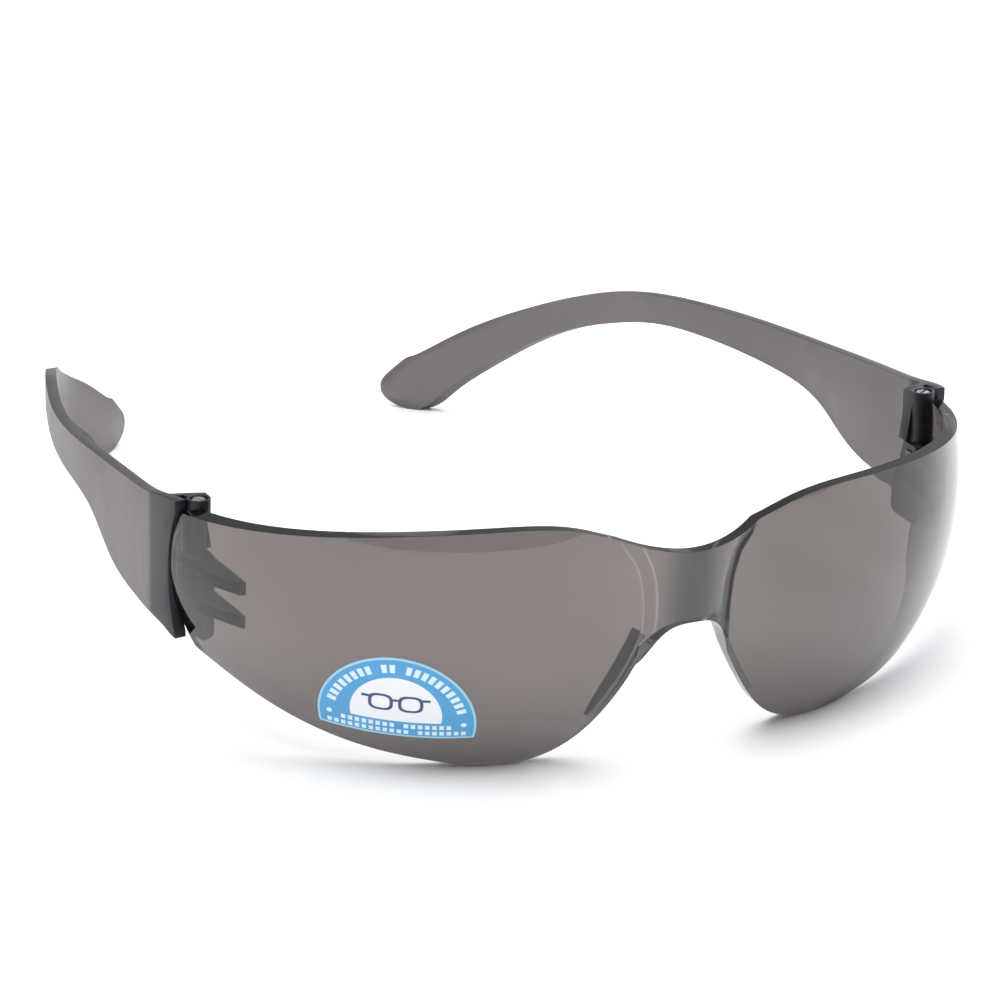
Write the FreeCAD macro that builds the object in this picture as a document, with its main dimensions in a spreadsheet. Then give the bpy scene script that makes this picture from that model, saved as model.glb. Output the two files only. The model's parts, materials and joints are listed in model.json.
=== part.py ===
import FreeCAD, Part
import math
import os

import Sketcher
from FreeCAD import Placement, Rotation, Vector

# Frameless wraparound safety glasses, open and standing on a flat surface.
# +X is the wearer's left, -Y is the front, +Z is up; the origin is under the middle of the whole
# object. Every piece on the wearer's left is modelled, and its partner on the right is its mirror image.

doc = FreeCAD.newDocument("safety_glasses")
sheet = doc.addObject("Spreadsheet::Sheet", "Sizes")

SIZES = [
    # alias, value in mm, what it is
    ("hinge_span", 128.8, "between the two hinge screws"),
    ("temple_reach", 126.9, "hinge axis to the temple's rear end, along Y"),
    ("lens_radius", 50.9, "outside radius of each eye zone"),
    ("lens_thickness", 2.1, "wall of the lens"),
    ("zone_centre_behind_hinge", 8.4, "centre of an eye zone, behind the hinge axis"),
    ("zone_centre_height", 29.9, "centre of an eye zone, above the floor"),
    ("side_outside_hinge", 1.65, "inner face of the lens outside the hinge axis"),
    ("bridge_forward", 2.5, "front of the bridge, ahead of the eye zones"),
    ("bridge_top", 36.2, "middle of the lens's top edge"),
    ("bridge_radius_low", 9.0, "plan radius of the bridge at its foot"),
    ("bridge_radius_mid", 14.0, "plan radius of the bridge at its middle"),
    ("bridge_radius_high", 24.0, "plan radius of the bridge at its top"),
    ("brow_height", 41.9, "highest point of the lens"),
    ("brow_offset", 31.5, "highest point of the lens, from the middle"),
    ("arch_height", 24.3, "top of the nose arch"),
    ("cheek_offset", 26.5, "lowest point of the lens, from the middle"),
    ("edge_top", 37.9, "lens's top edge at the hinge"),
    ("edge_bottom", 15.6, "lens's bottom edge at the hinge"),
    ("edge_bow", 23.8, "radius of the lens's rear edge, seen from the side"),
    ("edge_behind_hinge", 1.7, "rearmost point of the lens, behind the hinge axis"),
    ("fin_depth", 1.5, "nose fin, rearwards from the lens"),
    ("fin_thickness", 1.3, "wall of a nose fin"),
    ("label_width", 24.8, "diameter of the label's round edge"),
    ("label_film", 0.12, "thickness of the label"),
    ("label_rise", 3.0, "centre of the label's round edge, above its straight edge"),
    ("knuckle_radius", 1.9, "hinge knuckles about the axis"),
    ("knuckle_split", 30.2, "middle of the gap between the knuckles"),
    ("knuckle_gap", 0.4, "gap between the knuckles"),
    ("hinge_clearance", 0.45, "between the temple and what it turns past"),
    ("temple_top", 39.0, "top of the temple at the hinge"),
    ("temple_wall", 1.9, "thickness of the temple"),
    ("temple_bottom", 16.4, "bottom of the temple at the hinge"),
    ("bracket_bottom", 16.6, "lower end of the bracket's knuckle"),
    ("rib_thickness", 2.0, "each of the bracket's two ribs"),
    ("rib_reach", 12.5, "ribs, forward of the hinge axis"),
    ("upper_rib", 28.1, "middle of the upper rib"),
    ("lower_rib", 22.6, "middle of the lower rib"),
    ("screw_shank", 1.4, "diameter of the screw's shank"),
    ("screw_head", 2.5, "diameter of the screw's head"),
    ("screw_head_height", 1.0, "height of the screw's head"),
    ("screw_sink", 0.3, "top of the head, below the temple's top"),
    ("screw_length", 13.0, "screw under its head"),
    ("screw_fit", 0.05, "radial clearance of the screw in the temple"),
    ("head_fit", 0.25, "radial clearance of the head in its recess"),
    ("insert_diameter", 2.3, "threaded insert"),
    ("insert_length", 5.0, "threaded insert"),
    ("insert_sink", 0.3, "top of the insert, below the top of the bracket's knuckle"),
]
for row, (alias, value, note) in enumerate(SIZES, start=1):
    sheet.set(f"A{row}", note)
    sheet.set(f"B{row}", str(value))
    sheet.setAlias(f"B{row}", alias)
doc.recompute()


def size(alias):
    """The value of one driving dimension."""
    return float(getattr(sheet, alias))


# Places that follow from the sizes. The hinge axis is placed so that the whole object is centred on Y.
HINGE_X = size("hinge_span") / 2
HINGE_Y = (size("lens_radius") + size("bridge_forward") - size("zone_centre_behind_hinge")
           - size("temple_reach")) / 2
ZONE_Y = HINGE_Y + size("zone_centre_behind_hinge")
ZONE_Z = size("zone_centre_height")
ZONE_X = (HINGE_X + size("side_outside_hinge") + size("lens_thickness")
          - math.sqrt(size("lens_radius") ** 2 - size("zone_centre_behind_hinge") ** 2))
LENS_FRONT = ZONE_Y - size("lens_radius")
BRIDGE_FRONT = LENS_FRONT - size("bridge_forward")
CUT_DEPTH = 150.0
EDGE_BOW_Z = (size("edge_top") + size("edge_bottom")) / 2
EDGE_BOW_Y = HINGE_Y + size("edge_behind_hinge") - size("edge_bow")
HEAD_TOP = size("temple_top") - size("screw_sink")
SCREW_TIP = HEAD_TOP - size("screw_head_height") - size("screw_length")
INSERT_TOP = size("knuckle_split") - size("knuckle_gap") / 2 - size("insert_sink")
PLAN_STEPS = 18
SIDES = (("left", 1), ("right", -1))
# The temple and the bridge are drawn for these sizes, and stretch with the real ones.
DRAWN_REACH = 126.9
DRAWN_ZONE_X = 17.9
STRETCH = size("temple_reach") / DRAWN_REACH
WIDENING = max(0.0, ZONE_X - DRAWN_ZONE_X)


# ---------------------------------------------------------------- helpers

def bind(obj, **expressions):
    """Tie properties of an object to expressions; a double underscore stands for a dot."""
    for name, expression in expressions.items():
        obj.setExpression(name.replace("__", "."), expression)
    return obj


def spline(points, plane, start=None, end=None):
    """Smooth curve through points given in two coordinates of the named plane."""
    curve = Part.BSplineCurve()
    place = {"XZ": lambda p: Vector(p[0], 0, p[1]),
             "YZ": lambda p: Vector(0, p[0], p[1]),
             "XY": lambda p: Vector(p[0], p[1], 0)}[plane]
    options = {}
    if start and end:
        options = {"InitialTangent": place(start), "FinalTangent": place(end)}
    curve.interpolate([place(p) for p in points], **options)
    return curve.toShape()


def line(a, b):
    return Part.LineSegment(a, b).toShape()


def outline_prism(name, edges, direction, length):
    """Solid swept from a closed outline, along direction and centred on the outline's plane."""
    outline = doc.addObject("Part::Feature", name + "_outline")
    outline.Shape = Part.Wire(Part.__sortEdges__(edges))
    prism = doc.addObject("Part::Extrusion", name)
    prism.Base = outline
    prism.DirMode = "Custom"
    prism.Dir = direction
    prism.Solid = True
    prism.Symmetric = True
    prism.LengthFwd = length
    return prism


def polygon_prism(name, points, z_low, z_high):
    """Solid with a plan outline of straight sides, between two heights."""
    corners = [Vector(x, y, z_low) for x, y in points]
    outline = doc.addObject("Part::Feature", name + "_outline")
    outline.Shape = Part.makePolygon(corners + corners[:1])
    prism = doc.addObject("Part::Extrusion", name)
    prism.Base = outline
    prism.DirMode = "Custom"
    prism.Dir = Vector(0, 0, 1)
    prism.Solid = True
    prism.LengthFwd = z_high - z_low
    return prism


def zone_sphere(name, radius_expression, side):
    """Ball about the centre of one eye zone; side is 1 for the wearer's left and -1 for the right."""
    ball = doc.addObject("Part::Sphere", name)
    ball.Placement = Placement(Vector(side * ZONE_X, ZONE_Y, ZONE_Z), Rotation())
    return bind(ball, Radius=radius_expression)


def combine(kind, name, base, tool):
    """Part::Cut or Part::Common of two objects."""
    result = doc.addObject("Part::" + kind, name)
    result.Base, result.Tool = base, tool
    return result


def fuse(name, shapes):
    result = doc.addObject("Part::MultiFuse", name)
    result.Shapes = shapes
    return result


def mirrored(name, source):
    """Mirror image of a finished piece on the other side of the middle plane."""
    image = doc.addObject("Part::Mirroring", name)
    image.Source = source
    image.Base = Vector(0, 0, 0)
    image.Normal = Vector(1, 0, 0)
    image.Label = name
    return image


# ---------------------------------------------------------------- lens

def bridge_solid(name, inset):
    """Saddle between the eye zones: round sections that widen upwards, inset by a wall or not at all."""
    stations = [
        (size("arch_height") - 9, size("bridge_radius_low"), 1.3),
        (size("arch_height") + 1, size("bridge_radius_low") + 2.5, 0.7),
        (size("arch_height") + 8, size("bridge_radius_mid"), 0.3),
        (size("bridge_top") + 1, size("bridge_radius_mid") + 7, 0.0),
        (size("brow_height") + 1, size("bridge_radius_high"), 0.0),
    ]
    sections = []
    for number, (height, radius, back) in enumerate(stations):
        circle = doc.addObject("Part::Circle", f"{name}_section_{number}")
        circle.Radius = radius + WIDENING - inset
        circle.Placement = Placement(Vector(0, BRIDGE_FRONT + back + radius + WIDENING, height), Rotation())
        sections.append(circle)
    loft = doc.addObject("Part::Loft", name)
    loft.Sections = sections
    loft.Solid = True
    return loft


def lens_outline():
    """The lens seen from the front: brow line, nose arch and cheek lines, open at the sides."""
    side = HINGE_X + 8
    brow, brow_x = size("brow_height"), size("brow_offset")
    top_half = [
        (9.6, size("bridge_top") + 1.5),
        (19.0, brow - 1.0),
        (brow_x, brow),
        (HINGE_X - 19.4, brow - 0.8),
        (HINGE_X - 5.4, size("edge_top") + 1.2),
        (HINGE_X + 2.4, size("edge_top") - 0.6),
        (side, size("edge_top") - 3.0),
    ]
    arch = size("arch_height")
    bottom_half = [
        (3.2, arch - 0.5),
        (7.3, arch - 6.2),
        (11.8, arch - 14.3),
        (17.7, 3.3),
        (size("cheek_offset"), 0.0),
        (HINGE_X - 28.0, 1.2),
        (HINGE_X - 16.0, size("edge_bottom") - 11.4),
        (HINGE_X - 4.6, size("edge_bottom") - 5.6),
        (HINGE_X + 2.4, size("edge_bottom") + 0.4),
        (side, size("edge_bottom") + 5.4),
    ]
    top = [(-x, z) for x, z in reversed(top_half)] + [(0, size("bridge_top"))] + top_half
    bottom = [(-x, z) for x, z in reversed(bottom_half)] + [(0, arch)] + bottom_half
    ends = [line(Vector(s * side, 0, top_half[-1][1]), Vector(s * side, 0, bottom_half[-1][1]))
            for s in (-1, 1)]
    return [spline(top, "XZ"), spline(bottom, "XZ")] + ends


def side_outline():
    """The lens seen from the side: everything ahead of a bowed rear edge."""
    reach = size("edge_bow")
    front = BRIDGE_FRONT - 5
    low, high = EDGE_BOW_Z - reach, EDGE_BOW_Z + reach
    bow = Part.Arc(Vector(0, EDGE_BOW_Y, low), Vector(0, EDGE_BOW_Y + reach, EDGE_BOW_Z),
                   Vector(0, EDGE_BOW_Y, high)).toShape()
    corners = [Vector(0, EDGE_BOW_Y, high), Vector(0, EDGE_BOW_Y, high + reach),
               Vector(0, front, high + reach), Vector(0, front, low - reach),
               Vector(0, EDGE_BOW_Y, low - reach), Vector(0, EDGE_BOW_Y, low)]
    return [bow] + [line(a, b) for a, b in zip(corners, corners[1:])]


def zone_y(x, z, depth):
    """Y of an eye zone's surface at a place seen from the front, depth under its outer face."""
    radius = size("lens_radius") - depth
    return ZONE_Y - math.sqrt(radius ** 2 - (abs(x) - ZONE_X) ** 2 - (z - ZONE_Z) ** 2)


def nose_fins():
    """Two fins that run back from the edges of the nose arch, where the glasses rest on the nose."""
    arch, depth, wall = size("arch_height"), size("fin_depth"), size("fin_thickness")
    # along the arch's edge, from its foot up: offset from the middle, height, share of the fin's depth
    stations = [(13.3, 8.0, 0.0), (11.8, arch - 14.3, 0.55), (9.2, arch - 10.0, 0.95),
                (7.0, arch - 5.4, 1.0), (6.0, arch - 2.6, 0.75)]
    fins = []
    for name, side in SIDES:
        edge = [Vector(side * x, zone_y(x, z, size("lens_thickness") * 0.4), z) for x, z, share in stations]
        ridge = [p + Vector(side * 0.15, 1, 0) * (0.4 + size("lens_thickness") * 0.6 + depth * station[2])
                 for p, station in zip(edge, stations)]
        edge_curve, ridge_curve = Part.BSplineCurve(), Part.BSplineCurve()
        edge_curve.interpolate(edge)
        ridge_curve.interpolate(ridge)
        face = Part.makeRuledSurface(edge_curve.toShape(), ridge_curve.toShape())
        fin = doc.addObject("Part::Feature", f"nose_fin_{name}")
        fin.Shape = face.extrude(Vector(side * wall, 0, wall * 0.5))
        fins.append(fin)
    return fins


def build_lens():
    """One moulding: two spherical eye zones, the bridge between them and the nose fins."""
    outer = [zone_sphere(f"zone_outer_{name}", "Sizes.lens_radius", side) for name, side in SIDES]
    inner = [zone_sphere(f"zone_inner_{name}", "Sizes.lens_radius - Sizes.lens_thickness", side)
             for name, side in SIDES]
    zones = combine("Cut", "zone_shells", fuse("zones_outer", outer), fuse("zones_inner", inner))
    core = bridge_solid("bridge_core", size("lens_thickness"))
    saddle = combine("Cut", "saddle_wall", bridge_solid("bridge_outer", 0.0), core)
    saddle = combine("Cut", "saddle", saddle, doc.getObject("zones_inner"))
    shell = fuse("lens_wall", [combine("Cut", "zones_open", zones, core), saddle])
    front_cut = outline_prism("lens_front_view", lens_outline(), Vector(0, 1, 0), 2 * CUT_DEPTH)
    side_cut = outline_prism("lens_side_view", side_outline(), Vector(1, 0, 0), 2 * CUT_DEPTH)
    trimmed = combine("Common", "lens_trimmed", shell, front_cut)
    trimmed = combine("Common", "lens_sided", trimmed, side_cut)
    relief = []
    for name, side in SIDES:
        bore = doc.addObject("Part::Cylinder", f"lens_relief_{name}")
        bind(bore, Radius="Sizes.knuckle_radius + 0.8 * Sizes.hinge_clearance")
        bore.Height = 30
        bore.Placement = Placement(Vector(side * HINGE_X, HINGE_Y, size("knuckle_split")), Rotation())
        relief.append(bore)
    trimmed = fuse("lens_with_fins", [trimmed] + nose_fins())
    lens = combine("Cut", "lens", trimmed, fuse("lens_reliefs", relief))
    lens.Label = "lens"
    return lens


# ---------------------------------------------------------------- label

LABEL_AZIMUTH = 34.6     # outwards from straight ahead, about the zone's centre
LABEL_ELEVATION = -27.0  # of the middle of the straight edge
LABEL_TILT = 3.5         # the straight edge rises towards the nose


def build_label():
    """Thin half-round film on the wearer's right eye zone, standing on its straight edge."""
    film = combine("Cut", "label_shell",
                   zone_sphere("label_outside", "Sizes.lens_radius + Sizes.label_film", -1),
                   zone_sphere("label_inside", "Sizes.lens_radius", -1))
    turn = (Rotation(Vector(0, 0, 1), -LABEL_AZIMUTH).multiply(Rotation(Vector(1, 0, 0), -LABEL_ELEVATION))
            .multiply(Rotation(Vector(0, 1, 0), LABEL_TILT)))
    centre = Vector(-ZONE_X, ZONE_Y, ZONE_Z)
    reach = size("lens_radius") + 5
    disc = doc.addObject("Part::Cylinder", "label_disc")
    bind(disc, Radius="Sizes.label_width / 2")
    disc.Height = 15
    disc.Placement = Placement(centre + turn.multVec(Vector(0, -reach, size("label_rise"))),
                               turn.multiply(Rotation(Vector(1, 0, 0), -90)))
    above = doc.addObject("Part::Box", "label_above_edge")
    above.Length, above.Width, above.Height = 60, 15, 40
    above.Placement = Placement(centre + turn.multVec(Vector(-30, -reach, 0)), turn)
    label = combine("Common", "lens_label", film, combine("Common", "label_shape", disc, above))
    label.Label = "lens_label"
    return label


# ---------------------------------------------------------------- hinge bracket

def build_bracket():
    """Dark moulding bonded inside the lens: lower knuckle of the hinge and two forward ribs."""
    low, high = size("bracket_bottom"), size("knuckle_split") - size("knuckle_gap") / 2
    x, y, rear = HINGE_X, HINGE_Y, size("edge_behind_hinge") - 0.1
    block = polygon_prism("bracket_block", [(x - 3.6, y + rear), (x - 2.4, y - 2.4), (x + 6, y - 4.6),
                                            (x + 6, y + rear)], low, high)
    profile = [Vector(x - 2.3, y, high), Vector(x - 2.9, y, high - 2.6), Vector(x - 3.6, y, low + 5.4),
               Vector(x - 3.6, y, low + 2.8)]
    lobe = Part.Arc(profile[-1], Vector(x - 2.9, y, low + 0.9), Vector(x - 1.2, y, low)).toShape()
    far = [Vector(x - 1.2, y, low), Vector(x + 7, y, low), Vector(x + 7, y, high), profile[0]]
    edges = [line(a, b) for a, b in zip(profile, profile[1:])] + [lobe]
    edges += [line(a, b) for a, b in zip(far, far[1:])]
    block = combine("Common", "bracket_body", block,
                    outline_prism("bracket_front_view", edges, Vector(0, 1, 0), 60))
    ribs = []
    for name in ("upper_rib", "lower_rib"):
        middle, half = size(name), size("rib_thickness") / 2
        ribs.append(polygon_prism(f"bracket_{name}", [
            (x - 2.9, y), (x - 3.3, y - size("rib_reach")), (x + 4, y - size("rib_reach")), (x + 4, y)],
            middle - half, middle + half))
    solid = combine("Common", "bracket_fitted", fuse("bracket_full", [block] + ribs),
                    doc.getObject("zone_inner_left"))
    shank = doc.addObject("Part::Cylinder", "bracket_shank_hole")
    bind(shank, Radius="Sizes.screw_shank / 2 + Sizes.screw_fit")
    shank.Height = 20
    shank.Placement = Placement(Vector(x, y, SCREW_TIP - size("knuckle_gap")), Rotation())
    socket = doc.addObject("Part::Cylinder", "bracket_insert_socket")
    bind(socket, Radius="Sizes.insert_diameter / 2")
    socket.Height = size("insert_length") + 2
    socket.Placement = Placement(Vector(x, y, INSERT_TOP - size("insert_length")), Rotation())
    bracket = combine("Cut", "hinge_bracket_left", solid, fuse("bracket_bores", [shank, socket]))
    bracket.Label = "hinge_bracket_left"
    return bracket


# ---------------------------------------------------------------- temple

def temple_plan():
    """Outer and inner face of the temple seen from above, as offsets from the hinge axis."""
    reach = DRAWN_REACH
    middle = [(3.1, 0.0), (3.6, 7.0), (3.3, 18.0), (2.1, 37.0), (-0.6, 59.0), (-4.6, 73.0), (-9.0, 85.0),
              (-14.2, reach - 29.5), (-18.4, reach - 20.4), (-22.8, reach - 13.9), (-26.9, reach - 10.1),
              (-31.5, reach - 5.8), (-34.9, reach - 2.7), (-38.2, reach + 0.1), (-41.2, reach + 2.5)]
    course = Part.BSplineCurve()
    course.interpolate([Vector(HINGE_X + dx, HINGE_Y + dy * STRETCH, 0) for dx, dy in middle])
    faces = []
    for side in (-0.5, 0.5):
        points = []
        for step in range(PLAN_STEPS + 1):
            span = course.LastParameter - course.FirstParameter
            at = course.FirstParameter + span * step / PLAN_STEPS
            along = course.tangent(at)[0]
            points.append(course.value(at) + Vector(along.y, -along.x, 0) * side * size("temple_wall"))
        face = Part.BSplineCurve()
        face.interpolate(points)
        faces.append(face.toShape())
    ends = [line(faces[0].valueAt(getattr(faces[0], end)), faces[1].valueAt(getattr(faces[1], end)))
            for end in ("FirstParameter", "LastParameter")]
    return faces + ends


def temple_side():
    """The temple seen from the side: deep at the hinge, slim over the ear, with a drooping tail."""
    reach, top, bottom = DRAWN_REACH, size("temple_top"), size("temple_bottom")
    upper = [
        (-6.0, top), (0.0, top - 0.1), (4.0, top - 0.6), (8.7, top - 1.5), (16.7, top - 2.4),
        (28.0, top - 3.4), (43.0, top - 4.8), (57.7, top - 5.9), (72.4, top - 6.8),
        (reach - 45.3, top - 7.7), (reach - 36.0, top - 9.7), (reach - 28.1, top - 12.7),
        (reach - 18.1, top - 17.6), (reach - 10.0, 15.8), (reach - 3.8, 10.2), (reach - 1.8, 7.9),
    ]
    tip = [upper[-1], (reach - 0.1, 4.6), (reach - 0.9, 1.4), (reach - 3.4, 0.0), (reach - 5.8, 1.0)]
    lower = [
        tip[-1], (reach - 8.0, 4.0), (reach - 11.5, 8.2), (reach - 20.4, 15.8), (reach - 30.8, 21.5),
        (reach - 36.1, 23.5), (reach - 47.2, 26.4), (70.0, bottom + 10.5), (60.0, bottom + 10.3),
        (50.0, bottom + 10.0), (42.0, bottom + 9.4), (36.0, bottom + 7.8), (29.5, bottom + 4.5),
        (23.0, bottom + 2.4), (17.5, bottom + 1.7), (10.6, bottom + 1.1), (4.4, bottom + 0.6),
        (-6.0, bottom - 0.6),
    ]
    slopes = [(1.0, 0.0), (1.0, -1.5), (-1.0, 1.0), (-1.0, 0.0)]
    curves = [spline([(HINGE_Y + dy * STRETCH, z) for dy, z in part], "YZ", start, end)
              for part, start, end in zip((upper, tip, lower), slopes, slopes[1:])]
    (front, high), (_, low) = upper[0], lower[-1]
    front_y = HINGE_Y + front * STRETCH
    return curves + [line(Vector(0, front_y, high), Vector(0, front_y, low))]


def build_temple():
    """Side arm in one moulding with its upper knuckle, screw recess and screw hole."""
    side_view = outline_prism("temple_side_view", temple_side(), Vector(1, 0, 0), 2 * CUT_DEPTH)
    arm = combine("Common", "temple_arm",
                  outline_prism("temple_plan_view", temple_plan(), Vector(0, 0, 1), 2 * CUT_DEPTH), side_view)
    bow = doc.addObject("Part::Cylinder", "temple_front_bow")
    bind(bow, Radius="Sizes.edge_bow + Sizes.hinge_clearance")
    bow.Height = 40
    bow.Placement = Placement(Vector(HINGE_X - 10, EDGE_BOW_Y, EDGE_BOW_Z), Rotation(Vector(0, 1, 0), 90))
    arm = combine("Cut", "temple_arm_trimmed", arm, bow)
    low, high = size("knuckle_split") + size("knuckle_gap") / 2, size("temple_top")
    x, y, r = HINGE_X, HINGE_Y, size("knuckle_radius")
    corner = r * math.sqrt(0.5)
    plan = [Part.Arc(Vector(x - r, y, low), Vector(x, y - r, low),
                     Vector(x + corner, y + corner, low)).toShape()]
    corners = [Vector(x + corner, y + corner, low), Vector(x + corner, y + 2.9, low),
               Vector(x + 3.4, y + 3.6, low), Vector(x + 3.0, y + 5.8, low),
               Vector(x - r - 0.3, y + 2.6, low), Vector(x - r, y, low)]
    plan += [line(a, b) for a, b in zip(corners, corners[1:])]
    knuckle = doc.addObject("Part::Extrusion", "temple_knuckle")
    outline = doc.addObject("Part::Feature", "temple_knuckle_outline")
    outline.Shape = Part.Wire(Part.__sortEdges__(plan))
    knuckle.Base = outline
    knuckle.DirMode, knuckle.Dir, knuckle.Solid = "Custom", Vector(0, 0, 1), True
    knuckle.LengthFwd = high - low
    lean = [Vector(x - r + 0.3, y, high), Vector(x - r - 0.9, y, low), Vector(x + 1, y, low),
            Vector(x + 1, y, high)]
    wedge_outline = doc.addObject("Part::Feature", "temple_wedge_outline")
    wedge_outline.Shape = Part.makePolygon(lean + lean[:1])
    wedge = doc.addObject("Part::Extrusion", "temple_wedge")
    wedge.Base = wedge_outline
    wedge.DirMode, wedge.Dir, wedge.Solid = "Custom", Vector(0, 1, 0), True
    wedge.LengthFwd = 2.5
    hub = combine("Common", "temple_hub", fuse("temple_hub_full", [knuckle, wedge]), side_view)
    whole = fuse("temple_whole", [arm, hub])
    hole = doc.addObject("Part::Cylinder", "temple_screw_hole")
    bind(hole, Radius="Sizes.screw_shank / 2 + Sizes.screw_fit")
    hole.Height = high - low + 2
    hole.Placement = Placement(Vector(x, y, low - 1), Rotation())
    recess = doc.addObject("Part::Cylinder", "temple_head_recess")
    bind(recess, Radius="Sizes.screw_head / 2 + Sizes.head_fit")
    recess.Height = 5
    recess.Placement = Placement(Vector(x, y, HEAD_TOP - size("screw_head_height")), Rotation())
    dimple = doc.addObject("Part::Cylinder", "temple_dimple")
    dimple.Radius, dimple.Height = 0.8, 1.2
    dimple.Placement = Placement(Vector(x, y - r - 0.8, (low + high) / 2 - 0.3),
                                 Rotation(Vector(1, 0, 0), -90))
    temple = combine("Cut", "temple_left", whole, fuse("temple_cuts", [hole, recess, dimple]))
    temple.Label = "temple_left"
    return temple


# ---------------------------------------------------------------- fasteners

def build_screw():
    """Slotted cheese-head screw, put in from above."""
    body = doc.addObject("PartDesign::Body", "hinge_screw_left")
    body.Label = "hinge_screw_left"
    plane = next(f for f in body.Origin.OriginFeatures if f.Role == "XZ_Plane")
    profile = body.newObject("Sketcher::SketchObject", "screw_profile")
    profile.AttachmentSupport = [(plane, "")]
    profile.MapMode = "FlatFace"
    shank, head = size("screw_shank") / 2, size("screw_head") / 2
    height, length, bevel = size("screw_head_height"), size("screw_length"), 0.2
    corners = [(0, 0), (head - bevel, 0), (head, -bevel), (head, -height), (shank, -height),
               (shank, -height - length + bevel), (shank - bevel, -height - length), (0, -height - length)]
    for a, b in zip(corners, corners[1:] + corners[:1]):
        profile.addGeometry(Part.LineSegment(Vector(a[0], a[1], 0), Vector(b[0], b[1], 0)), False)
    turned = body.newObject("PartDesign::Revolution", "screw_turned")
    turned.Profile = profile
    turned.ReferenceAxis = (profile, ["V_Axis"])
    turned.Angle = 360
    body.Tip = turned
    top = next(f for f in body.Origin.OriginFeatures if f.Role == "XY_Plane")
    slot_sketch = body.newObject("Sketcher::SketchObject", "slot_sketch")
    slot_sketch.AttachmentSupport = [(top, "")]
    slot_sketch.MapMode = "FlatFace"
    half_long, half_wide = head + 0.5, 0.2
    slot = [(-half_long, -half_wide), (half_long, -half_wide), (half_long, half_wide),
            (-half_long, half_wide)]
    for a, b in zip(slot, slot[1:] + slot[:1]):
        slot_sketch.addGeometry(Part.LineSegment(Vector(a[0], a[1], 0), Vector(b[0], b[1], 0)), False)
    doc.recompute()
    before = body.Shape.Volume
    pocket = body.newObject("PartDesign::Pocket", "driver_slot")
    pocket.Profile = slot_sketch
    pocket.Length = height * 0.45
    body.Tip = pocket
    doc.recompute()
    if body.Shape.Volume >= before:
        raise RuntimeError("the driver slot cuts nothing")
    body.Placement = Placement(Vector(HINGE_X, HINGE_Y, HEAD_TOP), Rotation(Vector(0, 0, 1), 35))
    return body


def build_insert():
    """Threaded bush pressed into the top of the bracket's knuckle; the screw ends in it."""
    body = doc.addObject("PartDesign::Body", "thread_insert_left")
    body.Label = "thread_insert_left"
    plane = next(f for f in body.Origin.OriginFeatures if f.Role == "XY_Plane")
    ring = body.newObject("Sketcher::SketchObject", "insert_rings")
    ring.AttachmentSupport = [(plane, "")]
    ring.MapMode = "FlatFace"
    for alias, extra in (("insert_diameter", ""), ("screw_shank", " + 2 * Sizes.screw_fit")):
        number = ring.addGeometry(Part.Circle(Vector(0, 0, 0), Vector(0, 0, 1), size(alias) / 2), False)
        ring.addConstraint(Sketcher.Constraint("Coincident", number, 3, -1, 1))
        rule = ring.addConstraint(Sketcher.Constraint("Diameter", number, size(alias)))
        ring.setExpression(f"Constraints[{rule}]", f"Sizes.{alias}{extra}")
    pad = body.newObject("PartDesign::Pad", "insert_wall")
    pad.Profile = ring
    pad.setExpression("Length", "Sizes.insert_length")
    body.Tip = pad
    body.Placement = Placement(Vector(HINGE_X, HINGE_Y, INSERT_TOP - size("insert_length")), Rotation())
    return body


# ---------------------------------------------------------------- document

lens = build_lens()
pieces = [lens, build_label()]
for original in (build_bracket(), build_temple(), build_screw(), build_insert()):
    pieces += [original, mirrored(original.Label.replace("left", "right"), original)]
doc.recompute()

for obj in doc.Objects:
    if "Invalid" in obj.State or "Error" in obj.State:
        raise RuntimeError(f"{obj.Label} failed: {obj.State}")
os.makedirs("parts", exist_ok=True)
for piece in pieces:
    shape = piece.Shape
    if shape.isNull() or not shape.isValid() or len(shape.Solids) < 1:
        raise RuntimeError(f"{piece.Label} has no valid solid")
    box = shape.BoundBox
    print(f"{piece.Label}: {len(shape.Solids)} solid, {shape.Volume:.1f} mm3, "
          f"X {box.XMin:.1f}..{box.XMax:.1f} Y {box.YMin:.1f}..{box.YMax:.1f} "
          f"Z {box.ZMin:.1f}..{box.ZMax:.1f}")
    shape.exportStep(f"parts/{piece.Label}.step")
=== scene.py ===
"""Studio model of frameless wraparound safety glasses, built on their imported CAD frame.

The lens, its nose fins and the hinges keep the shapes of the CAD frame. The arms keep theirs with
their sharp edges rounded, and the label is a finer film in the same place. This file gives each
of them its finish, and sets the studio around them.
"""

from __future__ import annotations

import json
import logging
import math
from dataclasses import dataclass, field
from enum import Enum
from functools import reduce

import bpy
import bmesh
from mathutils import Matrix, Vector

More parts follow.
